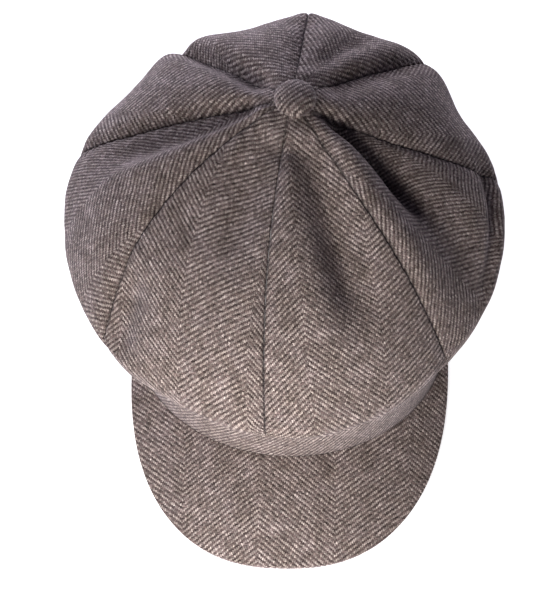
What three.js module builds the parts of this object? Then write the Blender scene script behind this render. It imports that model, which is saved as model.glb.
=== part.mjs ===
// Newsboy cap: eight tweed panels sewn to a headband, a covered button and a stiff front peak.
// Millimetres. +Z is up, +Y the back of the head and +X the right side of a front view.
// Inside this file the headband's centre on the table is the origin.
import * as THREE from 'three';

// Headband, measured outside
const BAND_WIDTH = 194;
const BAND_LENGTH = 184;
const BAND_HEIGHT = 32;
const BAND_WALL = 3;
const BAND_ARCH = 10; // rise of the band at the middle of the front, over the peak

// Crown cloth
const CLOTH = 2;
const SEAM_GAP = 0.3;
const CROWN_RADIUS = 136; // of the widest line of the crown, its rim, seen from above
const CROWN_RISE = 98; // top of the crown above the band
const RIM_SIDE = -5; // centre of the rim from the centre of the band
const RIM_BACK = 38;
const RIM_ROLL = 10; // the cloth turns under softly this far on both sides of the rim
const TOP_SIDE = -1; // place where the eight panels meet
const TOP_BACK = 86;
const TOP_HOLE = 4; // radius left open under the button
const PANEL_PUFF = 3.5; // how far a panel stands out between its seams
const PANEL_LENGTH = 205; // of a cut panel, from its tip to the band
const PANEL_WIDTH = 107; // of a cut panel where it is widest
const FOLD_DEPTH = 15; // of the deepest crease
const FOLD_WIDTH = 20; // half width of the widest hollow

// Button
const BUTTON_DIAMETER = 25;
const BUTTON_HEIGHT = 8;
const BUTTON_SIDE = 2; // sewn on a little to one side

// Peak
const PEAK_LENGTH = 68.5; // from the band to the front edge, along the middle
const PEAK_THICKNESS = 4;
const PEAK_DROP = 6; // of the front edge below the root
const PEAK_BULGE = 5; // rise of the middle above a flat board
const PEAK_FLARE = 1.6; // of each corner beyond the band beside it
const PEAK_SPREAD = 78; // degrees of the band that the root takes on each side
const PEAK_SIDE = -1.6; // corners and front edge sit a little to one side
const PEAK_LEAN = -3;
const PEAK_SQUARENESS = 2.4; // power of the rounded outline, 2 is an ellipse
const PEAK_EDGE = 1.5; // rounding of the edge

// A panel line runs from the top to the band at a place p, counted in panels from the front seam
// round by the right. Whole numbers are seams and halves are the middles of the panels.
// rimAngle and bandAngle are degrees from the front; reach is a share of CROWN_RADIUS, rise one of
// CROWN_RISE, and bow, how far the line swings sideways, one of CROWN_RADIUS. dome is 0 for a
// straight fall and 1 for a round one.
const LINES = [
  { rimAngle: -4, reach: 0.99, rise: 0.072, dome: 0.4, bandAngle: -7, bow: -0.045 },
  { rimAngle: 20, reach: 0.97, rise: 0.085, dome: 0.45, bandAngle: 22, bow: -0.015 },
  { rimAngle: 48, reach: 0.96, rise: 0.09, dome: 0.6, bandAngle: 44, bow: 0.03 },
  { rimAngle: 78, reach: 0.98, rise: 0.16, dome: 0.7, bandAngle: 66, bow: 0 },
  { rimAngle: 104, reach: 1.015, rise: 0.35, dome: 0.5, bandAngle: 88, bow: -0.07 },
  { rimAngle: 123, reach: 0.95, rise: 0.47, dome: 0.7, bandAngle: 111, bow: -0.02 },
  { rimAngle: 140, reach: 1.045, rise: 0.57, dome: 0.6, bandAngle: 134, bow: 0 },
  { rimAngle: 158, reach: 0.955, rise: 0.61, dome: 0.8, bandAngle: 157, bow: 0 },
  { rimAngle: 174, reach: 0.985, rise: 0.635, dome: 0.8, bandAngle: 179, bow: 0 },
  { rimAngle: 193, reach: 0.915, rise: 0.61, dome: 0.8, bandAngle: 201, bow: 0 },
  { rimAngle: 211, reach: 0.995, rise: 0.61, dome: 0.6, bandAngle: 223, bow: 0 },
  { rimAngle: 229, reach: 0.94, rise: 0.5, dome: 0.7, bandAngle: 246, bow: 0 },
  { rimAngle: 250, reach: 1.015, rise: 0.38, dome: 0.5, bandAngle: 269, bow: 0 },
  { rimAngle: 278, reach: 0.955, rise: 0.19, dome: 0.7, bandAngle: 292, bow: -0.08 },
  { rimAngle: 305, reach: 0.975, rise: 0.095, dome: 0.6, bandAngle: 313, bow: -0.135 },
  { rimAngle: 331, reach: 0.935, rise: 0.085, dome: 0.45, bandAngle: 325, bow: -0.1 },
];
const LINES_PER_PANEL = 2;

// Folds that run down the cloth from (p, s) to (toP, toS), where s is 0 at the top and 1 at the band.
// depth is a share of FOLD_DEPTH, negative for a crease and positive for a ridge; width of FOLD_WIDTH.
const FOLDS = [
  { name: 'right crease', p: 1.52, s: 0.06, toP: 1.5, toS: 0.3, depth: -1, width: 0.4 },
  { name: 'right hollow', p: 1.5, s: 0.16, toP: 1.42, toS: 0.58, depth: -0.67, width: 0.95 },
  { name: 'right ridge', p: 1.12, s: 0.08, toP: 1.1, toS: 0.48, depth: 0.33, width: 0.45 },
  { name: 'middle valley', p: 0.68, s: 0.06, toP: 0.62, toS: 0.42, depth: -0.47, width: 0.5 },
  { name: 'front valley', p: 7.7, s: 0.05, toP: 7.74, toS: 0.3, depth: -0.33, width: 0.45 },
  { name: 'left crease', p: 6.3, s: 0.08, toP: 6.1, toS: 0.48, depth: -0.53, width: 0.4 },
  { name: 'left edge', p: 6.66, s: 0.08, toP: 6.4, toS: 0.42, depth: 0.2, width: 0.35 },
  { name: 'left dimple', p: 7.08, s: 0.46, toP: 7.12, toS: 0.66, depth: -0.33, width: 0.45 },
  { name: 'back left crease', p: 5.06, s: 0.06, toP: 5, toS: 0.74, depth: -0.8, width: 0.45 },
  { name: 'back right crease', p: 2.86, s: 0.08, toP: 3, toS: 0.6, depth: -0.6, width: 0.5 },
  { name: 'back valley', p: 4.02, s: 0.12, toP: 4, toS: 0.42, depth: -0.2, width: 0.5 },
  { name: 'back fold', p: 3.5, s: 0.2, toP: 3.42, toS: 0.5, depth: -0.27, width: 0.45 },
];

// Tucks run round the cloth instead, from (p, s) to (toP, toS).
const TUCKS = [
  { name: 'right tuck', p: 1.45, s: 0.64, toP: 2, toS: 0.6, depth: -0.33, width: 0.3 },
];

const PANEL_NAMES = [
  'panel_front_right', 'panel_right_front', 'panel_right_back', 'panel_back_right',
  'panel_back_left', 'panel_left_back', 'panel_left_front', 'panel_front_left',
];

// Mesh steps
const PANEL_COLUMNS = 10;
const PANEL_ROWS_ABOVE = 18; // from the top to the rim
const PANEL_ROWS_BELOW = 6; // from the rim to the band
const BAND_STEPS = 72;
const PEAK_COLUMNS = 36;
const PEAK_ROWS = 7;
const BUTTON_STEPS = 24;
const BUTTON_ROWS = 6;

const RIM_AT = 0.7; // the rim's share of the way from the top to the band
const MOST_ROLL = 0.8; // of the fall from a low rim to the band, as a sine of its turn
const BOW_EARLY = 0.8; // a bowed line swings out most before the middle of its fall
const SEAM_SHARPNESS = 0.6; // power of the puff's rise from a seam
const NORMAL_STEP = 0.012;

const panels = PANEL_NAMES.length;
const radians = THREE.MathUtils.degToRad;
const { clamp, lerp, smoothstep } = THREE.MathUtils;

// Smooth value through the table's rows at a place p, running on round the crown.
// A column that counts degrees gains a whole turn with each lap.
function tableValue(column, p, lap = 0) {
  const x = p * LINES_PER_PANEL;
  const i = Math.floor(x);
  const f = x - i;
  const row = (k) => {
    const laps = Math.floor(k / LINES.length);
    return LINES[k - laps * LINES.length][column] + lap * laps;
  };
  const [a, b, c, d] = [row(i - 1), row(i), row(i + 1), row(i + 2)];
  return b + 0.5 * f * (c - a + f * (2 * a - 5 * b + 4 * c - d + f * (3 * (b - c) + d - a)));
}

// Point of the band's outline seen from above, at an angle in radians from the front
function bandPoint(angle, out = 0) {
  const x = (BAND_WIDTH / 2 + out) * Math.sin(angle);
  const y = -(BAND_LENGTH / 2 + out) * Math.cos(angle);
  return new THREE.Vector2(x, y);
}

function bandBottom(angle) {
  return BAND_ARCH * clamp(Math.cos(angle), 0, 1) ** 1.5;
}

// Smooth crown surface without puff and folds
function crownBase(p, s) {
  const angle = radians(tableValue('rimAngle', p, 360));
  const bandAngle = radians(tableValue('bandAngle', p, 360));
  const reach = tableValue('reach', p) * CROWN_RADIUS;
  const bow = tableValue('bow', p) * CROWN_RADIUS;
  const dome = tableValue('dome', p);
  const bandTop = bandBottom(bandAngle) + BAND_HEIGHT;

  const top = new THREE.Vector3(TOP_SIDE, TOP_BACK, BAND_HEIGHT + CROWN_RISE);
  const rim = new THREE.Vector3(
    RIM_SIDE + reach * Math.sin(angle),
    RIM_BACK - reach * Math.cos(angle),
    bandTop + tableValue('rise', p) * CROWN_RISE,
  );
  const seat = bandPoint(bandAngle, -BAND_WALL);
  const run = new THREE.Vector2(rim.x - top.x, rim.y - top.y);
  const across = new THREE.Vector2(-run.y, run.x).normalize();

  const above = (t) => {
    const out = (1 - dome) * t + dome * Math.sin(t * Math.PI / 2);
    const height = (1 - dome) * (1 - t) + dome * Math.cos(t * Math.PI / 2);
    const swing = bow * Math.sin(Math.PI * t ** BOW_EARLY);
    return new THREE.Vector3(
      top.x + run.x * out + across.x * swing,
      top.y + run.y * out + across.y * swing,
      lerp(rim.z, top.z, height),
    );
  };
  const below = (u) => {
    const inward = 1 - Math.cos(u * Math.PI / 2);
    return new THREE.Vector3(
      lerp(rim.x, seat.x, inward),
      lerp(rim.y, seat.y, inward),
      lerp(rim.z, bandTop + SEAM_GAP, Math.sin(u * Math.PI / 2)),
    );
  };
  const startT = 1 - RIM_ROLL / top.distanceTo(rim);
  const endU = Math.asin(Math.min(RIM_ROLL / (rim.z - bandTop), MOST_ROLL)) / (Math.PI / 2);
  const rollStart = RIM_AT * startT;
  const rollEnd = lerp(RIM_AT, 1, endU);
  if (s <= rollStart) return above(Math.max(s, 0) / RIM_AT);
  if (s >= rollEnd) return below((Math.min(s, 1) - RIM_AT) / (1 - RIM_AT));
  const roll = new THREE.QuadraticBezierCurve3(above(startT), rim, below(endU));
  return roll.getPoint((s - rollStart) / (rollEnd - rollStart));
}

// Outward direction of the smooth surface, straight up at the very top
function crownNormal(p, s) {
  const acrossPanel = crownBase(p + NORMAL_STEP, s).sub(crownBase(p - NORMAL_STEP, s));
  const down = crownBase(p, s + NORMAL_STEP).sub(crownBase(p, s - NORMAL_STEP));
  const normal = down.cross(acrossPanel).normalize();
  return new THREE.Vector3(0, 0, 1).lerp(normal, smoothstep(s, 0, 0.06)).normalize();
}

function panelWidthAt(s) {
  if (s < RIM_AT) return PANEL_WIDTH * (Math.max(s, 0.001) / RIM_AT) ** 0.9;
  const bandEdge = Math.PI * (BAND_WIDTH + BAND_LENGTH) / 2 / panels;
  return lerp(PANEL_WIDTH, bandEdge, (s - RIM_AT) / (1 - RIM_AT));
}

// Signed way round the crown from q to p, in panels
function panelsBetween(p, q) {
  return THREE.MathUtils.euclideanModulo(p - q + panels / 2, panels) - panels / 2;
}

// How far folds, tucks and puff move the cloth outwards
function relief(p, s) {
  let out = 0;
  for (const fold of FOLDS) {
    const along = (s - fold.s) / (fold.toS - fold.s);
    const line = lerp(fold.p, fold.toP, clamp(along, 0, 1));
    const off = panelsBetween(p, line) * panelWidthAt(s) / (fold.width * FOLD_WIDTH);
    const fade = smoothstep(along, -0.25, 0.25) * (1 - smoothstep(along, 0.65, 1.35));
    out += fold.depth * FOLD_DEPTH * fade * Math.exp(-off * off);
  }
  for (const tuck of TUCKS) {
    const along = panelsBetween(p, tuck.p) / (tuck.toP - tuck.p);
    const line = lerp(tuck.s, tuck.toS, clamp(along, 0, 1));
    const off = (s - line) * PANEL_LENGTH / (tuck.width * FOLD_WIDTH);
    const fade = smoothstep(along, -0.3, 0.3) * (1 - smoothstep(along, 0.7, 1.3));
    out += tuck.depth * FOLD_DEPTH * fade * Math.exp(-off * off);
  }
  const between = p - Math.floor(p);
  const swell = (4 * between * (1 - between)) ** SEAM_SHARPNESS - 0.6;
  const strength = smoothstep(s, 0, 0.5) * (1 - 0.6 * smoothstep(s, 0.8, 1));
  out += PANEL_PUFF * strength * swell;
  return out * (1 - smoothstep(s, 0.93, 1));
}

// Point of the cloth. depth is 0 on the outside and CLOTH on the inside.
// Round the top the cloth lies flat, as a seat for the button.
function crownPoint(p, s, depth) {
  const normal = crownNormal(p, s);
  const point = crownBase(p, s).addScaledVector(normal, relief(p, s) - depth);
  if (s > RIM_AT / 2) return point;
  const away = Math.hypot(point.x - TOP_SIDE - BUTTON_SIDE, point.y - TOP_BACK);
  const seatEnd = BUTTON_DIAMETER / 2 + 1;
  point.z = lerp(BAND_HEIGHT + CROWN_RISE - depth, point.z, smoothstep(away, seatEnd, seatEnd * 1.8));
  return point;
}

// Closed solid between two grids of points of the same size, outer[row][column] and inner.
// Corners that meet draw nothing. A ring's last column is its first one, so it has no sides.
function solidBetween(outer, inner, ring = false) {
  const rows = outer.length;
  const columns = outer[0].length;
  const positions = [];
  const triangle = (a, b, c) => {
    const flat = a.distanceTo(b) < 1e-6 || b.distanceTo(c) < 1e-6 || c.distanceTo(a) < 1e-6;
    if (!flat) positions.push(...a.toArray(), ...b.toArray(), ...c.toArray());
  };
  const quad = (a, b, c, d) => {
    triangle(a, b, c);
    triangle(a, c, d);
  };
  for (let i = 0; i < rows - 1; i++) {
    for (let j = 0; j < columns - 1; j++) {
      quad(outer[i][j], outer[i + 1][j], outer[i + 1][j + 1], outer[i][j + 1]);
      quad(inner[i][j], inner[i][j + 1], inner[i + 1][j + 1], inner[i + 1][j]);
    }
    if (ring) continue;
    const last = columns - 1;
    quad(outer[i][0], inner[i][0], inner[i + 1][0], outer[i + 1][0]);
    quad(outer[i][last], outer[i + 1][last], inner[i + 1][last], inner[i][last]);
  }
  for (let j = 0; j < columns - 1; j++) {
    const last = rows - 1;
    quad(outer[0][j], outer[0][j + 1], inner[0][j + 1], inner[0][j]);
    quad(outer[last][j], inner[last][j], inner[last][j + 1], outer[last][j + 1]);
  }
  const geometry = new THREE.BufferGeometry();
  geometry.setAttribute('position', new THREE.Float32BufferAttribute(positions, 3));
  geometry.computeVertexNormals();
  return geometry;
}

// One of the eight panels, its edges held back from the seams by half the gap
function panelGeometry(number) {
  const rows = PANEL_ROWS_ABOVE + PANEL_ROWS_BELOW;
  const skin = (depth) => {
    const grid = [];
    for (let i = 0; i <= rows; i++) {
      const line = [];
      for (let j = 0; j <= PANEL_COLUMNS; j++) {
        const place = number + j / PANEL_COLUMNS;
        const tip = tipShare(place);
        const s = i <= PANEL_ROWS_ABOVE
          ? lerp(tip, RIM_AT, i / PANEL_ROWS_ABOVE)
          : lerp(RIM_AT, 1, (i - PANEL_ROWS_ABOVE) / PANEL_ROWS_BELOW);
        const inset = seamInset(place, s);
        line.push(crownPoint(lerp(number + inset, number + 1 - inset, j / PANEL_COLUMNS), s, depth));
      }
      grid.push(line);
    }
    return grid;
  };
  return solidBetween(skin(0), skin(CLOTH));
}

// Share of the way down at which a panel's tip starts, so that it stops at the hole in the top
function tipShare(p) {
  const probe = 0.02;
  const start = crownBase(p, 0);
  const next = crownBase(p, probe);
  return probe * TOP_HOLE / Math.hypot(next.x - start.x, next.y - start.y);
}

// Half the seam gap in panels, at the place where the cloth is this far down
function seamInset(p, s) {
  const across = crownBase(p + NORMAL_STEP, s).sub(crownBase(p - NORMAL_STEP, s));
  const along = crownBase(p, s + NORMAL_STEP).sub(crownBase(p, s - NORMAL_STEP)).normalize();
  const width = across.cross(along).length() / (2 * NORMAL_STEP);
  return SEAM_GAP / 2 / width;
}

function bandGeometry() {
  const skin = (out) => {
    const top = [];
    const bottom = [];
    for (let i = 0; i <= BAND_STEPS; i++) {
      const angle = 2 * Math.PI * (i % BAND_STEPS) / BAND_STEPS;
      const { x, y } = bandPoint(angle, out);
      top.push(new THREE.Vector3(x, y, bandBottom(angle) + BAND_HEIGHT));
      bottom.push(new THREE.Vector3(x, y, bandBottom(angle)));
    }
    return [top, bottom];
  };
  return solidBetween(skin(0), skin(-BAND_WALL), true);
}

// Stiff board whose root follows the front of the band; its edge is rounded to a line
function peakGeometry() {
  const spread = radians(PEAK_SPREAD);
  const rootLine = BAND_LENGTH / 2 * Math.cos(spread);
  const reach = BAND_LENGTH / 2 + PEAK_LENGTH - rootLine;
  const halfWidth = BAND_WIDTH / 2 * Math.sin(spread) + PEAK_FLARE;
  const round = 2 / PEAK_SQUARENESS;
  const point = (t, v, depth) => {
    const turn = t * Math.PI / 2;
    const wide = Math.cos(turn);
    const root = bandPoint(t * spread, SEAM_GAP);
    const edge = new THREE.Vector2(
      PEAK_SIDE + PEAK_LEAN * wide + halfWidth * Math.sign(t) * Math.abs(Math.sin(turn)) ** round,
      -rootLine - reach * Math.max(wide, 0) ** round,
    );
    const rootTop = bandBottom(t * spread) + PEAK_THICKNESS;
    const edgeTop = PEAK_THICKNESS + (BAND_ARCH - PEAK_DROP) * wide * wide;
    const bulge = PEAK_BULGE * wide * v * (1 - v);
    return new THREE.Vector3(
      lerp(root.x, edge.x, v), lerp(root.y, edge.y, v), lerp(rootTop, edgeTop, v) + bulge - depth);
  };
  const skin = (depth) => {
    const grid = [];
    for (let i = 0; i <= PEAK_ROWS; i++) {
      const line = [];
      for (let j = 0; j <= PEAK_COLUMNS; j++) {
        const t = 2 * j / PEAK_COLUMNS - 1;
        const atEdge = i === PEAK_ROWS;
        const v = atEdge ? 1 : (1 - PEAK_EDGE / PEAK_LENGTH) * i / (PEAK_ROWS - 1);
        line.push(point(t, v, atEdge ? PEAK_THICKNESS / 2 : depth));
      }
      grid.push(line);
    }
    return grid;
  };
  return solidBetween(skin(0), skin(PEAK_THICKNESS));
}

// Low dome with a flat underside
function buttonGeometry() {
  const profile = [new THREE.Vector2(0, 0)];
  for (let i = 0; i <= BUTTON_ROWS; i++) {
    const turn = i / BUTTON_ROWS * Math.PI / 2;
    const radius = i === BUTTON_ROWS ? 0 : BUTTON_DIAMETER / 2 * Math.cos(turn) ** 0.75;
    profile.push(new THREE.Vector2(radius, BUTTON_HEIGHT * Math.sin(turn) ** 0.9));
  }
  return new THREE.LatheGeometry(profile, BUTTON_STEPS).rotateX(Math.PI / 2);
}

const tweed = new THREE.MeshStandardMaterial({ color: 0x8a7a73, roughness: 0.95, metalness: 0 });
const shadedTweed = new THREE.MeshStandardMaterial({ color: 0x7b6d68, roughness: 0.95, metalness: 0 });

const cap = new THREE.Group();

function addPiece(name, geometry, material) {
  const piece = new THREE.Mesh(geometry, material);
  piece.name = name;
  cap.add(piece);
  return piece;
}

PANEL_NAMES.forEach((name, number) => {
  addPiece(name, panelGeometry(number), number % 2 ? tweed : shadedTweed);
});
addPiece('headband', bandGeometry(), tweed);
addPiece('peak', peakGeometry(), tweed);
const button = addPiece('button', buttonGeometry(), shadedTweed);
button.position.set(TOP_SIDE + BUTTON_SIDE, TOP_BACK, BAND_HEIGHT + CROWN_RISE + SEAM_GAP);

// The cap stands on the origin, in the middle of its own box
const box = new THREE.Box3().setFromObject(cap);
const middle = box.getCenter(new THREE.Vector3());
cap.position.set(-middle.x, -middle.y, -box.min.z);

export default cap;
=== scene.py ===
# Newsboy cap in herringbone tweed: eight sewn panels, a headband, a stiff peak and a covered button
import math

import bmesh
import bpy
import numpy as np
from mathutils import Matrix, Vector, noise


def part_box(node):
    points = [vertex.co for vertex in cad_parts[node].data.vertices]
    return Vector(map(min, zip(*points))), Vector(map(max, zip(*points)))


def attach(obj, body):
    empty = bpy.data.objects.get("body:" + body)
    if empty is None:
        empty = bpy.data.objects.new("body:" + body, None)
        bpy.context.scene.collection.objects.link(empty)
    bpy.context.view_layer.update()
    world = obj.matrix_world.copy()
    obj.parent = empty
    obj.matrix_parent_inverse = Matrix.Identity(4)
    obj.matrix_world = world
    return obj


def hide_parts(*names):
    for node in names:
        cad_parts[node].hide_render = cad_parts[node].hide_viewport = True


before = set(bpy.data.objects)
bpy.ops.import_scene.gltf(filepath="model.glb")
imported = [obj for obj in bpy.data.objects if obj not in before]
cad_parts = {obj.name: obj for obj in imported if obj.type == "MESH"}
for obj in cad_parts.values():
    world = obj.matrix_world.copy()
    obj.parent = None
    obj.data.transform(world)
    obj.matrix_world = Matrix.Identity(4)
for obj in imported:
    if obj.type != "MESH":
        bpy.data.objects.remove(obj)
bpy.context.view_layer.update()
bandLow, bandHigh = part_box("headband")
bandCentre = np.array([(bandLow[0] + bandHigh[0]) / 2, (bandLow[1] + bandHigh[1]) / 2, bandLow[2]])
mm = 0.001
weldWithin = 1e-6  # metres
print("frame loaded")

cameraValues = {
    "elevation": 60.0,  # degrees above the table, straight in front
    "distance": 1.2,
    "target": (0.0, 0.037, 0.06),  # from the middle of the band
    "targetPixel": (291.0, 231.0),
    "imagePixels": (558, 612),
    "focalPixels": 1968.0,
    "sensor": 36.0,
}


def placeCamera(v):
    lift = math.radians(v["elevation"])
    back = Vector((0, -math.cos(lift), math.sin(lift)))
    right = Vector((1, 0, 0))
    up = right.cross(-back)
    offRight = v["targetPixel"][0] - v["imagePixels"][0] / 2
    offDown = v["targetPixel"][1] - v["imagePixels"][1] / 2
    look = -back * v["focalPixels"] - right * offRight + up * offDown
    data = bpy.data.cameras.new("camera")
    data.sensor_fit = "VERTICAL"
    data.sensor_height = v["sensor"]
    data.lens = v["focalPixels"] / v["imagePixels"][1] * v["sensor"]
    camera = bpy.data.objects.new("camera", data)
    camera.location = Vector(bandCentre) + Vector(v["target"]) + back * v["distance"]
    camera.rotation_euler = look.to_track_quat("-Z", "Y").to_euler()
    bpy.context.collection.objects.link(camera)
    bpy.context.scene.camera = camera


def linear(hexColour):
    parts = [int(hexColour[i:i + 2], 16) / 255 for i in (1, 3, 5)]
    return [c / 12.92 if c <= 0.04045 else ((c + 0.055) / 1.055) ** 2.4 for c in parts] + [1.0]


# One small lamp close in front of the peak, and soft ones further off at the left, the back and the
# right, which leave the top and the back of the crown dim
lightValues = {
    "sky": "#dcd8ff",
    "skyStrength": 0.065,
    "aim": (0.0, 0.02, 0.05),
    "lamps": [
        {"name": "key", "place": (-0.06, -0.31, 0.19), "size": 0.2, "watts": 1.52, "colour": "#fffaf6"},
        {"name": "left", "place": (-0.6, 0.4, 0.26), "size": 0.4, "watts": 3.7, "colour": "#eeefff"},
        {"name": "back", "place": (0.05, 0.8, 0.3), "size": 0.4, "watts": 3.8, "colour": "#f2f0ff"},
        {"name": "right", "place": (0.6, -0.1, 0.4), "size": 0.4, "watts": 0.1, "colour": "#f0ecff"},
    ],
}


def placeLights(v):
    world = bpy.data.worlds.new("studio")
    world.use_nodes = True
    sky = world.node_tree.nodes["Background"]
    sky.inputs["Color"].default_value = linear(v["sky"])
    sky.inputs["Strength"].default_value = v["skyStrength"]
    bpy.context.scene.world = world
    for lamp in v["lamps"]:
        data = bpy.data.lights.new(lamp["name"], "AREA")
        data.size = lamp["size"]
        data.energy = lamp["watts"]
        data.color = linear(lamp["colour"])[:3]
        thing = bpy.data.objects.new(lamp["name"], data)
        thing.location = lamp["place"]
        thing.visible_camera = False
        aim = Vector(v["aim"]) - thing.location
        thing.rotation_euler = aim.to_track_quat("-Z", "Y").to_euler()
        bpy.context.collection.objects.link(thing)


placeCamera(cameraValues)
placeLights(lightValues)
bpy.context.scene.view_settings.view_transform = "Standard"
print("camera and lights placed")


# Adds a node with its settings, and links or sets its inputs by name or number
def addNode(tree, kind, inputs=None, **settings):
    node = tree.nodes.new("ShaderNode" + kind)
    for name, value in settings.items():
        setattr(node, name, value)
    for key, value in (inputs or {}).items():
        if isinstance(value, bpy.types.NodeSocket):
            tree.links.new(value, node.inputs[key])
        else:
            node.inputs[key].default_value = value
    return node.outputs


# Wool tweed, a 2/2 twill of beige warp and dark brown weft, woven as a herringbone and brushed:
# rough broken lines that turn back at each stripe, matt, with a soft greyish bloom at the edges
tweedValues = {
    "warpPitch": 1.03,  # mm from thread to thread, so the twill lines stand about 2.6 mm apart
    "weftPitch": 0.845,
    "stripe": 45.0,  # mm between two reversals
    "plainStripe": 10000.0,  # for pieces too small to show a reversal
    "warpDark": "#8d8078", "warpLight": "#c6bab0",
    "weftDark": "#2c2222", "weftLight": "#685753",
    "hollowShade": 0.62,  # darkening between two threads
    # brushed fibres veil the weave in patches
    "napColour": "#8d7d78", "napLeast": 0.0, "napMost": 0.7, "napMm": 5.0, "napRange": (0.35, 0.7),
    "floatChange": 0.42,  # change of tone from one float to the next
    "fibreChange": 0.54, "fibresPerMm": 1.2, "fibreRelief": 1.2,
    "blotchChange": 0.2, "blotchMm": 12.0,
    "castWarm": (1.015, 1.005, 0.95, 1.0), "castCool": (0.945, 0.975, 1.09, 1.0),  # uneven dye
    "yarnPerMm": 0.25, "yarnApart": 3.7,  # how fast a yarn's tone drifts, and how far two yarns differ
    "noiseRange": (0.3, 0.7),  # the noise values that give the least and the most change
    "seamShade": 0.5,  # darkening right at a seam, partly the cloth's own pressed seam line and partly painted shade where both cloths turn in, and painted shade at the button's edge
    "strayMm": 0.95, "strayOver": 4.0,  # how far a thread strays, over how many mm
    "roughness": 0.95, "specular": 0.1,
    "sheen": 0.3, "sheenRoughness": 0.45, "sheenTint": "#d8cfd9",
    "bump": 0.7, "bumpMm": 0.3,
}


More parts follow.
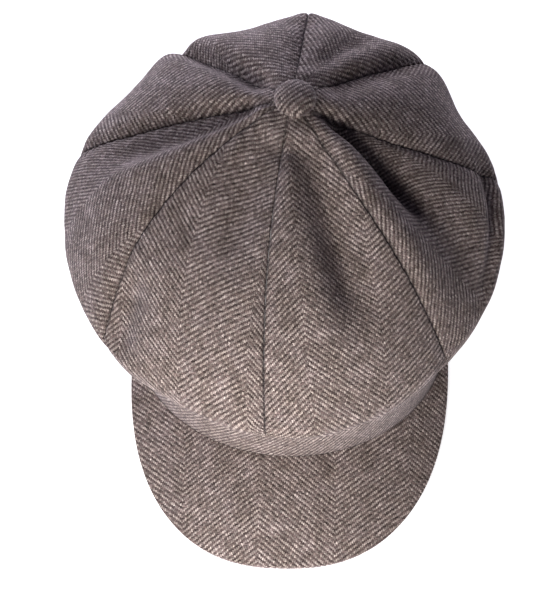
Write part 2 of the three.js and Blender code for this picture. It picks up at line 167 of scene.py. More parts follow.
def tweed(name, v, stripe):
    material = bpy.data.materials.new(name)
    material.use_nodes = True
    tree = material.node_tree
    shader = tree.nodes["Principled BSDF"]
    low, high = v["noiseRange"]

    # place on the flat cloth in mm, with each thread straying a little
    cloth = addNode(tree, "UVMap", uv_map="cloth")[0]
    flat = addNode(tree, "VectorMath", {0: cloth, 1: (1 / mm, 1 / mm, 0)}, operation="MULTIPLY")[0]
    stray = addNode(tree, "TexNoise", {"Vector": flat, "Scale": 1 / v["strayOver"], "Detail": 4.0,
                                       "Roughness": 0.65})["Color"]
    centred = addNode(tree, "VectorMath", {0: stray, 1: (0.5, 0.5, 0.5)}, operation="SUBTRACT")[0]
    moved = addNode(tree, "VectorMath", {0: centred, 1: (2 * v["strayMm"],) * 3, 2: flat},
                    operation="MULTIPLY_ADD")[0]
    place = addNode(tree, "SeparateXYZ", {0: moved})
    x, y = place[0], place[1]

    # number of each thread, and the step that it stands at in the twill's repeat of four
    stripeAt = addNode(tree, "Math", {0: x, 1: stripe}, operation="DIVIDE")[0]
    stripeNumber = addNode(tree, "Math", {0: stripeAt}, operation="FLOOR")[0]
    odd = addNode(tree, "Math", {0: stripeNumber, 1: 2.0}, operation="FLOORED_MODULO")[0]
    turn = addNode(tree, "Math", {0: odd, 1: -2.0, 2: 1.0}, operation="MULTIPLY_ADD")[0]
    acrossWarp = addNode(tree, "Math", {0: x, 1: v["warpPitch"]}, operation="DIVIDE")[0]
    acrossWeft = addNode(tree, "Math", {0: y, 1: v["weftPitch"]}, operation="DIVIDE")[0]
    warp = addNode(tree, "Math", {0: acrossWarp}, operation="FLOOR")[0]
    weft = addNode(tree, "Math", {0: acrossWeft}, operation="FLOOR")[0]
    stairs = addNode(tree, "Math", {0: warp, 1: turn, 2: weft}, operation="MULTIPLY_ADD")[0]
    step = addNode(tree, "Math", {0: stairs, 1: 4.0}, operation="FLOORED_MODULO")[0]
    warpUp = addNode(tree, "Math", {0: step, 1: 2.0}, operation="LESS_THAN")[0]

    # height of the thread on top: round across, and dipping at both ends of each float
    halfWarp = addNode(tree, "Math", {0: acrossWarp, 1: 0.5}, operation="PINGPONG")[0]
    halfWeft = addNode(tree, "Math", {0: acrossWeft, 1: 0.5}, operation="PINGPONG")[0]
    alongWarp = addNode(tree, "Math", {0: acrossWeft}, operation="FRACT")[0]
    alongWeft = addNode(tree, "Math", {0: acrossWarp}, operation="FRACT")[0]
    onWarp = addNode(tree, "Math", {0: step, 1: alongWarp}, operation="ADD")[0]
    turned = addNode(tree, "Math", {0: alongWeft, 1: turn, 2: odd}, operation="MULTIPLY_ADD")[0]
    onWeft = addNode(tree, "Math", {0: step, 1: turned}, operation="ADD")[0]
    acrossTop = addNode(tree, "Mix", {0: warpUp, 2: halfWeft, 3: halfWarp})[0]
    alongTop = addNode(tree, "Mix", {0: warpUp, 2: onWeft, 3: onWarp})[0]
    dipAt = addNode(tree, "Math", {0: alongTop, 1: 2.0}, operation="FLOORED_MODULO")[0]
    dipTurn = addNode(tree, "Math", {0: dipAt, 1: math.pi / 2}, operation="MULTIPLY")[0]
    dip = addNode(tree, "Math", {0: dipTurn}, operation="SINE")[0]
    domed = addNode(tree, "Math", {0: acrossTop, 1: dip}, operation="MULTIPLY")[0]
    doubled = addNode(tree, "Math", {0: domed, 1: 2.0}, operation="MULTIPLY")[0]
    height = addNode(tree, "Math", {0: doubled, 1: 0.5}, operation="POWER")[0]

    # mixed yarn: a tone that drifts along each thread
    warpRow = addNode(tree, "Math", {0: warp, 1: v["yarnApart"]}, operation="MULTIPLY")[0]
    warpRun = addNode(tree, "Math", {0: y, 1: v["yarnPerMm"]}, operation="MULTIPLY")[0]
    weftRow = addNode(tree, "Math", {0: weft, 1: v["yarnApart"]}, operation="MULTIPLY")[0]
    weftRun = addNode(tree, "Math", {0: x, 1: v["yarnPerMm"]}, operation="MULTIPLY")[0]
    warpPlace = addNode(tree, "CombineXYZ", {0: warpRow, 1: warpRun})[0]
    weftPlace = addNode(tree, "CombineXYZ", {0: weftRun, 1: weftRow})[0]
    warpDrift = addNode(tree, "TexNoise", {"Vector": warpPlace, "Scale": 1.0, "Detail": 2.0})[0]
    weftDrift = addNode(tree, "TexNoise", {"Vector": weftPlace, "Scale": 1.0, "Detail": 2.0})[0]
    warpTone = addNode(tree, "MapRange", {0: warpDrift, 1: low, 2: high})[0]
    weftTone = addNode(tree, "MapRange", {0: weftDrift, 1: low, 2: high})[0]
    warpYarn = addNode(tree, "Mix", {0: warpTone, 6: linear(v["warpDark"]), 7: linear(v["warpLight"])},
                       data_type="RGBA")[2]
    weftYarn = addNode(tree, "Mix", {0: weftTone, 6: linear(v["weftDark"]), 7: linear(v["weftLight"])},
                       data_type="RGBA")[2]
    woven = addNode(tree, "Mix", {0: warpUp, 6: weftYarn, 7: warpYarn}, data_type="RGBA")[2]

    # brushed nap: fibres that lie over the weave, more in some places than in others
    napNoise = addNode(tree, "TexNoise", {"Vector": flat, "Scale": 1 / v["napMm"], "Detail": 5.0,
                                          "Roughness": 0.75})[0]
    nap = addNode(tree, "MapRange", {0: napNoise, 1: v["napRange"][0], 2: v["napRange"][1],
                                     3: v["napLeast"], 4: v["napMost"]})[0]
    brushed = addNode(tree, "Mix", {0: nap, 6: woven, 7: linear(v["napColour"])}, data_type="RGBA")[2]

    # tone: painted shade in the hollows between threads, single floats, fibres, blotches, and seam lines with
    # painted shade at the seams and at the button's edge, all multiplied
    hollow = addNode(tree, "MapRange", {0: height, 3: v["hollowShade"], 4: 1.0})[0]
    repeatAt = addNode(tree, "Math", {0: stairs, 1: 4.0}, operation="DIVIDE")[0]
    repeatNumber = addNode(tree, "Math", {0: repeatAt}, operation="FLOOR")[0]
    threadOnTop = addNode(tree, "Mix", {0: warpUp, 2: weft, 3: warp})[0]
    floatName = addNode(tree, "CombineXYZ", {0: threadOnTop, 1: repeatNumber, 2: warpUp})[0]
    floatNoise = addNode(tree, "TexWhiteNoise", {"Vector": floatName})[0]
    floatTone = addNode(tree, "MapRange", {0: floatNoise, 3: 1 - v["floatChange"],
                                           4: 1 + v["floatChange"]})[0]
    fibreNoise = addNode(tree, "TexNoise", {"Vector": flat, "Scale": v["fibresPerMm"], "Detail": 3.0})[0]
    fibreTone = addNode(tree, "MapRange", {0: fibreNoise, 1: low, 2: high, 3: 1 - v["fibreChange"],
                                           4: 1 + v["fibreChange"]})[0]
    blotchNoise = addNode(tree, "TexNoise", {"Vector": flat, "Scale": 1 / v["blotchMm"], "Detail": 3.0})[0]
    blotchTone = addNode(tree, "MapRange", {0: blotchNoise, 1: low, 2: high, 3: 1 - v["blotchChange"],
                                            4: 1 + v["blotchChange"]})[0]
    # painted shade: darker at the seams, partly their own pressed line, and darker round the button's edge
    seamLineAndShade = addNode(tree, "Attribute", attribute_name="seamLineAndShade")["Fac"]
    seamLineAndShadeTone = addNode(tree, "MapRange", {0: seamLineAndShade, 3: 1.0, 4: 1 - v["seamShade"]})[0]
    toneA = addNode(tree, "Math", {0: hollow, 1: floatTone}, operation="MULTIPLY")[0]
    toneB = addNode(tree, "Math", {0: fibreTone, 1: blotchTone}, operation="MULTIPLY")[0]
    toneC = addNode(tree, "Math", {0: toneA, 1: toneB}, operation="MULTIPLY")[0]
    tone = addNode(tree, "Math", {0: toneC, 1: seamLineAndShadeTone}, operation="MULTIPLY")[0]
    cast = addNode(tree, "Mix", {0: blotchNoise, 6: v["castWarm"], 7: v["castCool"]}, data_type="RGBA")[2]
    toned = addNode(tree, "VectorMath", {0: brushed, "Scale": tone}, operation="SCALE")[0]
    colour = addNode(tree, "VectorMath", {0: toned, 1: cast}, operation="MULTIPLY")[0]

    # relief of threads and fibres
    uneven = addNode(tree, "Math", {0: fibreNoise, 1: v["fibreRelief"], 2: height},
                     operation="MULTIPLY_ADD")[0]
    bump = addNode(tree, "Bump", {"Strength": v["bump"], "Distance": v["bumpMm"] * mm, "Height": uneven})[0]
    tree.links.new(colour, shader.inputs["Base Color"])
    tree.links.new(bump, shader.inputs["Normal"])
    shader.inputs["Roughness"].default_value = v["roughness"]
    shader.inputs["Specular IOR Level"].default_value = v["specular"]
    shader.inputs["Sheen Weight"].default_value = v["sheen"]
    shader.inputs["Sheen Roughness"].default_value = v["sheenRoughness"]
    shader.inputs["Sheen Tint"].default_value = linear(v["sheenTint"])
    return material


herringbone = tweed("herringboneTweed", tweedValues, tweedValues["stripe"])
plainTwill = tweed("twillTweed", tweedValues, tweedValues["plainStripe"])
print("materials made")

# Headband, in mm
bandValues = {
    "width": 194.0, "length": 184.0, "height": 32.0, "wall": 3.0,
    "arch": 10.0, "archPower": 1.5,  # its lower edge rises over the peak
    "tuck": 0.9,  # how far its top is sewn up into the crown
    "columns": 240, "rows": 16,
    "foldHeight": 1.4, "foldDepth": 1.3,  # rounding of both long edges, which are folds
    "grain": 500.0,  # keeps the strip on one side of a reversal
    # seam at the back, with the distances from it at which the mesh has columns
    "seamDepth": 0.6, "seamWidth": 0.9, "seamShadeWidth": 0.6, "seamSteps": (0.3, 0.6, 1.0, 1.5),
}

# Crown, in mm, with places down a panel as shares: 0 at the top, rimAt at the rim and 1 at the band
crownValues = {
    "radius": 136.0, "rise": 98.0, "rimSide": -5.0, "rimBack": 38.0,
    "rimAt": 0.7, "rimRoll": 10.0, "rollMost": 0.8,  # the rim is rounded, less where it stands low
    "topSide": -1.0, "topBack": 86.0, "topHole": 4.0, "topLevel": 0.06, "cloth": 2.0,
    "bowPower": 0.8, "bandGap": 0.3,
    "panelLength": 205.0, "panelWidth": 107.0, "panelPower": 0.9,
    # puffMiddle is the share of a puff that stays below the smooth surface, at the seams
    "puff": 3.5, "puffPower": 0.6, "puffMiddle": 0.6, "puffFull": 0.5, "puffFalls": 0.8, "puffLost": 0.6,
    "foldFade": (-0.25, 0.25, 0.65, 1.35), "tuckFade": (-0.3, 0.3, 0.7, 1.3),  # shares of a fold's length
    "looseAt": (0.03, 0.2), "sewnDownAt": (0.93, 1.0),  # where wrinkles start, and where relief ends
    "seamDepth": 0.6, "seamWidth": 0.5, "seamGap": 0.16, "seamShadeWidth": 0.6,
    "seamDip": 0.6, "seamDipWidth": 3.0, "seamDipFalls": (0.3, 0.6), "seamDipLost": 0.8,
    "puckerDepth": 0.36, "puckerLength": 6.5, "puckerWidth": 6.0, "puckerAt": (0.06, 0.15),
    "puckerDrift": 5.0, "puckerDriftRate": 9.0,  # makes the puckers uneven in length
    "columns": 80, "rows": 170, "crowding": 0.14,  # columns stand closer by the seams
    # the cloth is level under the button, pulled in round it, and darkened with painted shade at its edge
    "buttonSide": 2.0, "buttonSeat": 9.0, "seatEnd": 30.0,
    "buttonPull": 1.5, "frontPull": 2.2, "buttonPullAt": 13.5, "buttonPullWidth": 6.0,
    "frontSwell": 2.4, "frontSwellAt": 38.0, "frontSwellWidth": 14.0,  # loose cloth in front of the button
    "buttonShade": 0.8, "buttonShadeAt": 12.6, "buttonShadeWidth": 1.4,
}

# Lines down the crown at each seam and each panel's middle: degrees of the rim from the front, its
# reach and rise as shares of radius and rise, roundness, degrees on the band, and sideways bow as a
# share of the radius
lineColumns = ("rimAngle", "reach", "rise", "dome", "bandAngle", "bow")
lines = np.array([
    (-4, 0.99, 0.072, 0.4, -7, -0.045),
    (20, 0.97, 0.085, 0.45, 22, -0.015),
    (50, 0.96, 0.09, 0.6, 45, 0.0),
    (78, 0.98, 0.16, 0.7, 66, 0.0),
    (104, 1.015, 0.35, 0.5, 88, -0.07),
    (123, 0.95, 0.47, 0.7, 111, -0.02),
    (140, 1.028, 0.57, 0.6, 134, 0.0),
    (158, 0.955, 0.61, 0.8, 157, 0.0),
    (174, 0.985, 0.635, 0.8, 179, 0.0),
    (193, 0.915, 0.61, 0.8, 201, 0.0),
    (211, 0.975, 0.61, 0.6, 223, 0.0),
    (229, 0.94, 0.5, 0.7, 246, 0.0),
    (250, 1.015, 0.38, 0.5, 269, 0.0),
    (278, 0.978, 0.19, 0.7, 292, -0.08),
    (305, 0.975, 0.095, 0.6, 313, -0.135),
    (331, 0.935, 0.085, 0.45, 325, -0.1),
])

# Folds: place p in panels from the front seam round by the right, s from the top to the band, the
# same at the other end, depth in mm (less than 0 is a crease) and half width in mm
folds = [
    ("rightCrease", 1.80, 0.08, 1.44, 0.34, -16, 7),
    ("rightPleat", 1.86, 0.09, 1.54, 0.27, -5, 4),
    ("rightHollow", 1.52, 0.20, 1.40, 0.60, -10, 17),
    ("rightRidge", 1.16, 0.08, 1.10, 0.48, 5, 9),
    ("middleValley", 0.72, 0.07, 0.64, 0.41, -14, 9.5),
    ("middleEnd", 0.66, 0.24, 0.63, 0.41, -4, 8),
    ("frontValley", 7.70, 0.05, 7.74, 0.30, -7, 9),
    ("frontLeftHollow", 7.26, 0.10, 7.32, 0.34, -4, 16),
    ("leftCrease", 6.42, 0.08, 6.14, 0.46, -10, 12),
    ("leftSeamHollow", 6.00, 0.14, 6.00, 0.62, -2.2, 5),
    ("leftEdge", 6.66, 0.08, 6.40, 0.42, 3, 7),
    ("leftDimple", 7.12, 0.46, 7.12, 0.64, -7, 9),
    ("backLeftCrease", 5.06, 0.06, 5.00, 0.66, -10, 9),
    ("backRightCrease", 2.86, 0.08, 3.00, 0.60, -6, 10),
    ("backValley", 4.02, 0.12, 4.00, 0.36, -2, 10),
    ("backRidge", 4.00, 0.52, 4.00, 0.84, 3.5, 11),
    ("backFold", 3.50, 0.20, 3.42, 0.50, -4, 9),
]
tucks = [("rightTuck", 1.45, 0.64, 2.00, 0.60, -5, 6)]

# Each panel with its grain: degrees that it leans from the panel's middle line, and mm from that
# line to the left side of a stripe whose twill rises to the right; then the flat gore's width and
# length in mm and its area in square mm
panels = [
    ("panel_front_right", -6.3, -39.7, 119, 208, 15700),
    ("panel_right_front", 0.0, 67.0, 129, 238, 16200),
    ("panel_right_back", 0.0, 22.0, 95, 224, 13000),
    ("panel_back_right", 0.0, 45.0, 90, 207, 13100),
    ("panel_back_left", 0.0, 67.0, 92, 203, 13600),
    ("panel_left_back", 0.0, 67.0, 95, 233, 13500),
    ("panel_left_front", 0.0, -34.0, 126, 253, 14600),
    ("panel_front_left", 7.4, 22.6, 115, 213, 15000),
]


# Smooth curve through one column of the lines; lap is what the value gains in each round
def tableValue(column, p, lap=0.0):
    values = lines[:, lineColumns.index(column)]
    x = np.asarray(p, float) * 2
    i = np.floor(x).astype(int)
    f = x - i
    a, b, c, d = (values[(i + k) % len(values)] + lap * ((i + k) // len(values)) for k in (-1, 0, 1, 2))
    return b + 0.5 * f * (c - a + f * (2 * a - 5 * b + 4 * c - d + f * (3 * (b - c) + d - a)))


def smooth(low, high, x):
    t = np.clip((x - low) / (high - low), 0, 1)
    return t * t * (3 - 2 * t)


# Rises from 0 to 1 and falls back to 0
def fade(x, start, full, fall, end):
    return smooth(start, full, x) * (1 - smooth(fall, end, x))


def bell(x, width):
    return np.exp(-(x / width) ** 2)


# Place on the headband's outer face, seen from above, at an angle from the front
def bandPoint(angle, out=0.0):
    return np.stack([(bandValues["width"] / 2 + out) * np.sin(angle),
                     -(bandValues["length"] / 2 + out) * np.cos(angle)], -1)


def bandBottom(angle):
    return bandValues["arch"] * np.clip(np.cos(angle), 0, 1) ** bandValues["archPower"]


def withHeight(xy, z):
    return np.concatenate([xy, np.asarray(z)[..., None]], -1)


# Smooth crown surface in mm from the middle of the band, without puff and folds
def crownBase(p, s):
    v = crownValues
    p, s = np.broadcast_arrays(np.asarray(p, float), np.asarray(s, float))
    angle, bandAngle = np.radians(tableValue("rimAngle", p, 360)), np.radians(tableValue("bandAngle", p, 360))
    reach, bow = tableValue("reach", p) * v["radius"], tableValue("bow", p) * v["radius"]
    dome = tableValue("dome", p)
    bandTop = bandBottom(bandAngle) + bandValues["height"]
    top = np.array([v["topSide"], v["topBack"], bandValues["height"] + v["rise"]])
    rim = np.stack([v["rimSide"] + reach * np.sin(angle), v["rimBack"] - reach * np.cos(angle),
                    bandTop + tableValue("rise", p) * v["rise"]], -1)
    seat = withHeight(bandPoint(bandAngle, -bandValues["wall"]), bandTop + v["bandGap"])
    run = rim[..., :2] - top[:2]
    across = np.stack([-run[..., 1], run[..., 0]], -1) / np.linalg.norm(run, axis=-1, keepdims=True)

    def above(t):
        out = (1 - dome) * t + dome * np.sin(t * np.pi / 2)
        height = (1 - dome) * (1 - t) + dome * np.cos(t * np.pi / 2)
        swing = (bow * np.sin(np.pi * np.clip(t, 0, 1) ** v["bowPower"]))[..., None]
        return withHeight(top[:2] + run * out[..., None] + across * swing,
                          rim[..., 2] + (top[2] - rim[..., 2]) * height)

    def below(u):
        inward = (1 - np.cos(u * np.pi / 2))[..., None]
        return withHeight(rim[..., :2] + (seat[..., :2] - rim[..., :2]) * inward,
                          rim[..., 2] + (seat[..., 2] - rim[..., 2]) * np.sin(u * np.pi / 2))

    startT = 1 - v["rimRoll"] / np.linalg.norm(rim - top, axis=-1)
    endU = np.arcsin(np.minimum(v["rimRoll"] / (rim[..., 2] - bandTop), v["rollMost"])) / (np.pi / 2)
    rollStart, rollEnd = v["rimAt"] * startT, v["rimAt"] + (1 - v["rimAt"]) * endU
    w = np.clip((s - rollStart) / (rollEnd - rollStart), 0, 1)[..., None]
    roll = above(startT) * (1 - w) ** 2 + rim * 2 * w * (1 - w) + below(endU) * w * w
    upper = above(np.clip(s, 0, rollStart) / v["rimAt"])
    lower = below((np.clip(s, rollEnd, 1) - v["rimAt"]) / (1 - v["rimAt"]))
    return np.where((s <= rollStart)[..., None], upper, np.where((s >= rollEnd)[..., None], lower, roll))


def crownNormal(p, s, step=0.012):
    acrossPanel = crownBase(p + step, s) - crownBase(p - step, s)
    down = crownBase(p, np.clip(s + step, 0, 1)) - crownBase(p, np.clip(s - step, 0, 1))
    normal = np.cross(down, acrossPanel)
    normal /= np.maximum(np.linalg.norm(normal, axis=-1, keepdims=True), 1e-9)
    lean = smooth(0, crownValues["topLevel"], s)[..., None]
    normal = normal * lean + np.array([0, 0, 1.0]) * (1 - lean)
    return normal / np.linalg.norm(normal, axis=-1, keepdims=True)


# Width of a panel in mm
def widthAt(s):
    v = crownValues
    atBand = math.pi * (bandValues["width"] + bandValues["length"]) / 2 / len(panels)
    lower = v["panelWidth"] + (atBand - v["panelWidth"]) * (s - v["rimAt"]) / (1 - v["rimAt"])
    upper = v["panelWidth"] * (np.maximum(s, 0.001) / v["rimAt"]) ** v["panelPower"]
    return np.where(s < v["rimAt"], upper, lower)


# How many panels p stands past q, the short way round
def panelsBetween(p, q):
    return (p - q + len(panels) / 2) % len(panels) - len(panels) / 2


# mm that folds, puff and seams move the cloth outwards
def relief(p, s):
    v = crownValues
    out = np.zeros(p.shape)
    for _, startP, startS, endP, endS, depth, width in folds:
        along = (s - startS) / (endS - startS)
        off = panelsBetween(p, startP + (endP - startP) * np.clip(along, 0, 1)) * widthAt(s)
        out += depth * fade(along, *v["foldFade"]) * bell(off, width)
    for _, startP, startS, endP, endS, depth, width in tucks:
        along = panelsBetween(p, startP) / (endP - startP)
        off = (s - startS - (endS - startS) * np.clip(along, 0, 1)) * v["panelLength"]
        out += depth * fade(along, *v["tuckFade"]) * bell(off, width)
    f = p - np.floor(p)
    swell = np.clip(4 * f * (1 - f), 0, 1) ** v["puffPower"] - v["puffMiddle"]
    left = 1 - v["puffLost"] * smooth(v["puffFalls"], 1, s)
    out += v["puff"] * smooth(0, v["puffFull"], s) * left * swell
    fromSeam = np.minimum(f, 1 - f) * widthAt(s)
    out -= v["seamDepth"] * bell(fromSeam, v["seamWidth"])
    left = 1 - v["seamDipLost"] * smooth(*v["seamDipFalls"], s)
    out -= v["seamDip"] * left * bell(fromSeam, v["seamDipWidth"])
    drift = v["puckerDrift"] * np.sin(v["puckerDriftRate"] * s + p)
    pucker = np.sin(2 * np.pi * s * v["panelLength"] / v["puckerLength"] + drift)
    out += v["puckerDepth"] * pucker * bell(fromSeam, v["puckerWidth"]) * smooth(*v["puckerAt"], s)
    return out * (1 - smooth(*v["sewnDownAt"], s))


# Small unevenness of soft cloth, in mm, from three sizes of smooth noise
wrinkleValues = [(34.0, 0.9), (15.0, 0.45), (7.0, 0.15)]  # size and height


def wrinkles(points):
    flat = points.reshape(-1, 3)
    out = np.zeros(len(flat))
    for size, height in wrinkleValues:
        out += height * np.array([noise.noise(Vector(q / size)) for q in flat])
    return out.reshape(points.shape[:-1])


# mm from the button's middle, seen from above
def fromButton(points):
    v = crownValues
    return np.hypot(points[..., 0] - v["topSide"] - v["buttonSide"], points[..., 1] - v["topBack"])


# Point of the crown's cloth at a depth in it: level under the button, and pulled in round it
def crownPoint(p, s, depth):
    v = crownValues
    normal = crownNormal(p, s)
    base = crownBase(p, s)
    loose = fade(s, *v["looseAt"], *v["sewnDownAt"])
    point = base + normal * (relief(p, s) + wrinkles(base) * loose - depth)[..., None]
    away = fromButton(point)
    inFront = (1 - (point[..., 1] - v["topBack"]) / np.maximum(away, 0.1)) / 2
    seat = bandValues["height"] + v["rise"] - depth
    level = seat + (point[..., 2] - seat) * smooth(v["buttonSeat"], v["seatEnd"], away)
    pull = v["buttonPull"] + v["frontPull"] * inFront
    level -= pull * bell(away - v["buttonPullAt"], v["buttonPullWidth"])
    level += v["frontSwell"] * inFront ** 2 * bell(away - v["frontSwellAt"], v["frontSwellWidth"])
    point[..., 2] = np.where(s > v["rimAt"] / 2, point[..., 2], level)
    return point


# Closed mesh from two grids of points, with the cloth's own flat place of each point as its UV
def clothMesh(name, outer, inner, flat, seamLineAndShade, ring=False):
    rows, columns = outer.shape[:2]
    count = rows * columns
    points = np.concatenate([outer.reshape(-1, 3), inner.reshape(-1, 3)])
    number = np.arange(count).reshape(rows, columns)
    i, j = np.meshgrid(np.arange(rows - 1), np.arange(columns - 1), indexing="ij")
    a, b, c, d = number[i, j], number[i + 1, j], number[i + 1, j + 1], number[i, j + 1]
    faces = [np.stack([a, b, c, d], -1).reshape(-1, 4), np.stack([a, d, c, b], -1).reshape(-1, 4) + count]
    edges = [number[0, ::-1], number[-1]]
    if not ring:
        edges += [number[:, 0], number[::-1, -1]]
    for edge in edges:
        faces.append(np.stack([edge[1:], edge[:-1], edge[:-1] + count, edge[1:] + count], -1))
    faces = np.concatenate(faces)
    mesh = bpy.data.meshes.new(name)
    mesh.from_pydata((points * mm + bandCentre).tolist(), [], faces.tolist())
    layer = mesh.uv_layers.new(name="cloth")
    places = np.concatenate([flat.reshape(-1, 2)] * 2) * mm
    corners = np.empty(len(mesh.loops), int)
    mesh.loops.foreach_get("vertex_index", corners)
    layer.data.foreach_set("uv", places[corners].ravel())
    line = mesh.attributes.new("seamLineAndShade", "FLOAT", "POINT")
    line.data.foreach_set("value", np.concatenate([seamLineAndShade.ravel()] * 2))
    if ring:
        mergeSeam(mesh)
    mesh.shade_smooth()
    piece = bpy.data.objects.new(name, mesh)
    bpy.context.collection.objects.link(piece)
    return piece


# Joins the last column of a ring to its first one
def mergeSeam(mesh):
    shape = bmesh.new()
    shape.from_mesh(mesh)
    bmesh.ops.remove_doubles(shape, verts=shape.verts, dist=weldWithin)
    shape.to_mesh(mesh)
    shape.free()


# Flat place of each point, across from the panel's middle line and down from its tip: the mean of
# what several surfaces give, turned and shifted to the grain
def flatten(grids, lean, shift):
    across, down = np.mean([measure(grid) for grid in grids], axis=0)
    turn = math.radians(lean)
    return np.stack([across * math.cos(turn) - down * math.sin(turn) + shift,
                     across * math.sin(turn) + down * math.cos(turn)], -1)


# Distances along a surface, across and down; a step down keeps at least a share of its length
def measure(grid, leastShare=0.3):
    middle = grid.shape[1] // 2
    stepAcross = np.linalg.norm(np.diff(grid, axis=1), axis=-1)
    across = np.concatenate([np.zeros((len(grid), 1)), np.cumsum(stepAcross, 1)], 1)
    across -= across[:, middle:middle + 1]
    stepDown = np.linalg.norm(np.diff(grid, axis=0), axis=-1)
    down = np.sqrt(np.maximum(stepDown ** 2 - np.diff(across, axis=0) ** 2, (leastShare * stepDown) ** 2))
    return across, np.concatenate([np.zeros((1, grid.shape[1])), np.cumsum(down, 0)])


# Gore of the crown, from the small hole under the button down to the headband
def makePanel(number, probe=0.02):
    v = crownValues
    name, lean, shift = panels[number][:3]
    t = np.linspace(0, 1, v["columns"] + 1)
    f = t - np.sin(2 * np.pi * t) * v["crowding"]
    slope = np.linalg.norm((crownBase(number + f, probe) - crownBase(number + f, 0))[..., :2], axis=-1)
    tip = probe * v["topHole"] / slope
    k = np.linspace(0, 1, v["rows"] + 1)
    s = tip[None] + (1 - tip[None]) * k[:, None]
    inset = v["seamGap"] / 2 / widthAt(s)
    p = number + inset + (1 - 2 * inset) * f[None]
    outer, inner = crownPoint(p, s, 0.0), crownPoint(p, s, v["cloth"])
    fromSeam = np.minimum(f, 1 - f)[None] * widthAt(s)
    # seam line, partly pressed cloth and partly painted shade, plus painted shade round the button's edge
    seamLineAndShade = bell(fromSeam, v["seamShadeWidth"])
    seamLineAndShade += v["buttonShade"] * bell(fromButton(outer) - v["buttonShadeAt"], v["buttonShadeWidth"])
    smoothCloth = crownBase(p, s)  # counts twice, so that the weave leans little in a fold
    flat = flatten([outer, smoothCloth, smoothCloth], lean, shift)
    piece = clothMesh(name.replace("panel", "gore"), outer, inner, flat, seamLineAndShade)
    piece.data.materials.append(herringbone)
    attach(piece, "root")
    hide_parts(name)
    return piece


gores = [makePanel(number) for number in range(len(panels))]
print("crown made")


# Strip of cloth, folded over and sewn to a ring; it is closed at the back
def makeBand(v):
    even = np.linspace(-math.pi, math.pi, v["columns"] + 1)
    bySeam = math.pi - np.array(v["seamSteps"]) * 2 / v["length"]
    angle = np.unique(np.concatenate([even, bySeam, -bySeam]))[None]
    fromSeam = (math.pi - np.abs(angle)) * v["length"] / 2
    dent = v["seamDepth"] * bell(fromSeam, v["seamWidth"])
    k = np.linspace(0, 1, v["rows"] + 1)[:, None]
    steps = np.linalg.norm(np.diff(bandPoint(angle[0]), axis=0), axis=-1)
    around = np.concatenate([[0], np.cumsum(steps)])
    edge = np.clip(np.minimum(k, 1 - k) * v["height"] / v["foldHeight"], 0, 1)
    roundIn = v["foldDepth"] * (1 - np.sqrt(1 - (1 - edge) ** 2))
    z = bandBottom(angle) + (v["height"] + v["tuck"]) * (1 - k)
    outer = withHeight(bandPoint(angle + 0 * k, -roundIn - dent), z)
    inner = withHeight(bandPoint(angle + 0 * k, -v["wall"] + roundIn), z)
    flat = np.stack(np.broadcast_arrays(v["height"] * k + v["grain"], around[None]), -1)  # cut across
    # seam line at the back, partly pressed cloth and partly painted shade
    seamLineAndShade = bell(fromSeam, v["seamShadeWidth"]) + 0 * k
    piece = clothMesh("bandStrip", outer, inner, flat, seamLineAndShade, ring=True)
    piece.data.materials.append(plainTwill)
    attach(piece, "root")
    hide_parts("headband")
    return piece


band = makeBand(bandValues)
print("headband made")

# Peak, in mm
peakValues = {
    "length": 68.5, "thickness": 4.0, "drop": 6.0, "bulge": 5.0, "flare": 3.1,
    "spread": 78.0, "rootGap": 0.3,  # degrees of the band that the root takes on each side, and mm off it
    "side": -0.1, "lean": -2.2, "squareness": 2.4,
    "columns": 120, "rows": 40,
    "edgeWidth": 1.5, "edgeSteps": 4, "edgeAngle": 50.0,
    "grain": -27.0,  # mm from the middle to the left side of a rising stripe
}


# Cloth lies on a board with its grain straight to the front, and turns down round the edge
def wrapCloth(piece, grain, thickness):
    mesh = piece.data
    mesh.update()
    points, normals = np.empty(len(mesh.vertices) * 3), np.empty(len(mesh.vertices) * 3)
    mesh.vertices.foreach_get("co", points)
    mesh.vertices.foreach_get("normal", normals)
    points, normals = points.reshape(-1, 3) - bandCentre, normals.reshape(-1, 3)
    under = (1 - normals[:, 2:]) / 2 * thickness * mm
    flat = (points[:, :2] + normals[:, :2] * under) * (1, -1) + (grain * mm, 0)
    layer = mesh.uv_layers.new(name="cloth")
    corners = np.empty(len(mesh.loops), int)
    mesh.loops.foreach_get("vertex_index", corners)
    layer.data.foreach_set("uv", flat[corners].ravel())


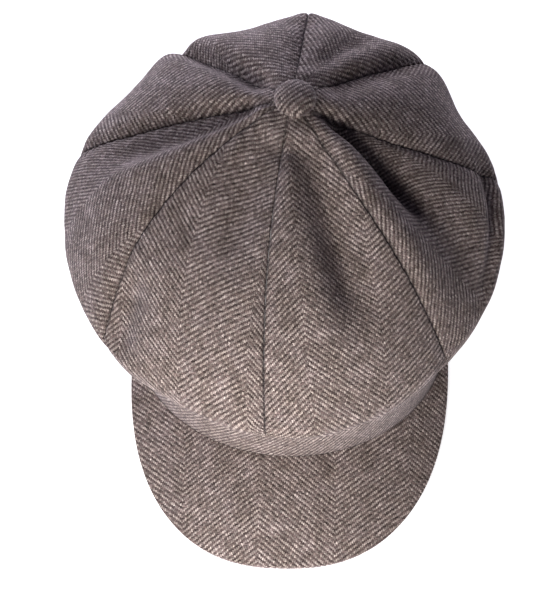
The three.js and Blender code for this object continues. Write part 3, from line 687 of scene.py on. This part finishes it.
def makePeak(v):
    spread = math.radians(v["spread"])
    rootLine = bandValues["length"] / 2 * math.cos(spread)
    reach = bandValues["length"] / 2 + v["length"] - rootLine
    halfWidth = bandValues["width"] / 2 * math.sin(spread) + v["flare"]
    bpy.ops.object.select_all(action="DESELECT")
    bpy.ops.mesh.primitive_grid_add(x_subdivisions=v["columns"], y_subdivisions=v["rows"], size=2)
    piece = bpy.context.object
    piece.name = "peakBoard"
    mesh = piece.data
    places = np.empty(len(mesh.vertices) * 3)
    mesh.vertices.foreach_get("co", places)
    places = places.reshape(-1, 3)
    t, k = places[:, 0], (1 - places[:, 1]) / 2
    turn = t * math.pi / 2
    wide = np.maximum(np.cos(turn), 0)
    root = bandPoint(t * spread, v["rootGap"])
    power = 2 / v["squareness"]
    edge = np.stack([v["side"] + v["lean"] * wide + halfWidth * np.sign(t) * np.abs(np.sin(turn)) ** power,
                     -rootLine - reach * wide ** power], -1)
    rootTop = bandBottom(t * spread) + v["thickness"]
    edgeTop = v["thickness"] + (bandValues["arch"] - v["drop"]) * wide ** 2
    z = rootTop + (edgeTop - rootTop) * k + v["bulge"] * wide * k * (1 - k)
    xy = root + (edge - root) * k[:, None]
    top = withHeight(xy, z)
    mesh.vertices.foreach_set("co", (top * mm + bandCentre).ravel())
    mesh.update()
    bpy.ops.object.mode_set(mode="EDIT")
    bpy.ops.mesh.select_all(action="SELECT")
    bpy.ops.mesh.remove_doubles(threshold=weldWithin)
    bpy.ops.mesh.normals_make_consistent(inside=False)
    bpy.ops.object.mode_set(mode="OBJECT")
    wall = piece.modifiers.new("wall", "SOLIDIFY")
    wall.thickness = v["thickness"] * mm
    wall.offset = -1 if mesh.polygons[0].normal.z > 0 else 1
    bevel = piece.modifiers.new("edge", "BEVEL")
    bevel.width = v["edgeWidth"] * mm
    bevel.segments = v["edgeSteps"]
    bevel.limit_method = "ANGLE"
    bevel.angle_limit = math.radians(v["edgeAngle"])
    for modifier in ("wall", "edge"):
        bpy.ops.object.modifier_apply(modifier=modifier)
    bpy.ops.object.shade_smooth()
    wrapCloth(piece, v["grain"], v["thickness"])
    piece.data.materials.append(herringbone)
    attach(piece, "root")
    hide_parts("peak")


makePeak(peakValues)
print("peak made")

# Button, in mm; turnAt and cutAt are shares of the radius from its widest line down to the level of
# the crown's top and to its own flat back
buttonValues = {
    "diameter": 25.0, "height": 8.0, "turnAt": 0.25, "cutAt": 0.8,
    "segments": 64, "rings": 16, "sharpAngle": 50.0,
    "grain": 100.0,  # keeps the button on one side of a reversal
}


def makeButton(v):
    low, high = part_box("button")
    centre = ((low[0] + high[0]) / 2, (low[1] + high[1]) / 2, low[2])
    radius = v["diameter"] / 2 * mm
    bpy.ops.object.select_all(action="DESELECT")
    bpy.ops.mesh.primitive_uv_sphere_add(segments=v["segments"], ring_count=2 * v["rings"], radius=radius)
    piece = bpy.context.object
    piece.name = "coveredButton"
    bpy.ops.object.mode_set(mode="EDIT")
    bpy.ops.mesh.select_all(action="SELECT")
    bpy.ops.mesh.bisect(plane_co=(0, 0, -v["cutAt"] * radius), plane_no=(0, 0, 1),
                        use_fill=True, clear_inner=True)
    bpy.ops.object.mode_set(mode="OBJECT")
    mesh = piece.data
    stretch = v["height"] * mm / ((1 + v["turnAt"]) * radius)
    for vertex in mesh.vertices:
        x, y, z = vertex.co
        vertex.co = (x + centre[0], y + centre[1], (z + v["turnAt"] * radius) * stretch + centre[2])
    layer = mesh.uv_layers[0]
    layer.name = "cloth"
    for loop in mesh.loops:
        place = mesh.vertices[loop.vertex_index].co
        layer.data[loop.index].uv = (place.x - centre[0] + v["grain"] * mm, centre[1] - place.y)
    bpy.ops.object.shade_smooth_by_angle(angle=math.radians(v["sharpAngle"]))
    piece.data.materials.append(plainTwill)
    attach(piece, "root")
    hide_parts("button")
    return piece


button = makeButton(buttonValues)
print("button made")

# Light table: opal acrylic sheet, matt and lit from below, so that the ground stays white as in
# the photograph and still carries a faint shadow
floorValues = {"size": 12.0, "colour": "#e4e4e6", "glowColour": "#ffffff", "glow": 0.8, "roughness": 0.7}


def makeFloor(v):
    bpy.ops.object.select_all(action="DESELECT")
    bpy.ops.mesh.primitive_plane_add(size=v["size"])
    floor = bpy.context.object
    floor.name = "floor"
    acrylic = bpy.data.materials.new("opalAcrylic")
    acrylic.use_nodes = True
    shader = acrylic.node_tree.nodes["Principled BSDF"]
    shader.inputs["Base Color"].default_value = linear(v["colour"])
    shader.inputs["Roughness"].default_value = v["roughness"]
    shader.inputs["Emission Color"].default_value = linear(v["glowColour"])
    shader.inputs["Emission Strength"].default_value = v["glow"]
    floor.data.materials.append(acrylic)


makeFloor(floorValues)
print("floor made")
